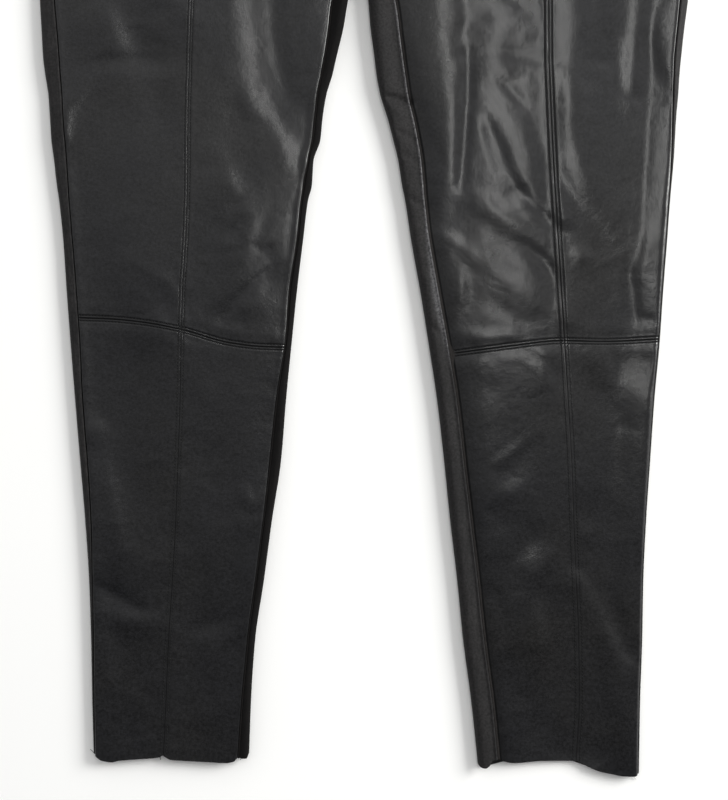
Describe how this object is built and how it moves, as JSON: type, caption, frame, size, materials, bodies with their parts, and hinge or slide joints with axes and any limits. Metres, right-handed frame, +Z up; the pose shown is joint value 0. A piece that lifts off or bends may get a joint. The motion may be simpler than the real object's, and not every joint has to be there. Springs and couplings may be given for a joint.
{
  "type": "faux leather skinny trousers laid flat",
  "caption": "Black skinny trousers lying flat, front up: glossy faux leather front panels with vertical and knee seams, matte stretch knit back wrapping round the sides, raw hems.",
  "frame": {"origin": "middle of the garment's bounding box, on the surface that it lies on", "axes": "+Z up out of the surface, +Y along the garment from the hems to the waist, +X towards the wearer's left leg"},
  "size_m": [0.576, 0.9885, 0.0078],
  "materials": {
    "faux_leather": "satin",
    "stretch_knit": "matte",
    "thread": "matte"
  },
  "bodies": {
    "root": {"front_thigh_outer_right": "faux_leather", "front_thigh_inner_right": "faux_leather", "front_thigh_outer_left": "faux_leather", "front_thigh_inner_left": "faux_leather", "front_shin_outer_right": "faux_leather", "front_shin_inner_right": "faux_leather", "front_shin_outer_left": "faux_leather", "front_shin_inner_left": "faux_leather", "back_leg_right": "stretch_knit", "back_leg_left": "stretch_knit", "waistband_front": "faux_leather", "waistband_back": "stretch_knit"}
  },
  "joints": []
}
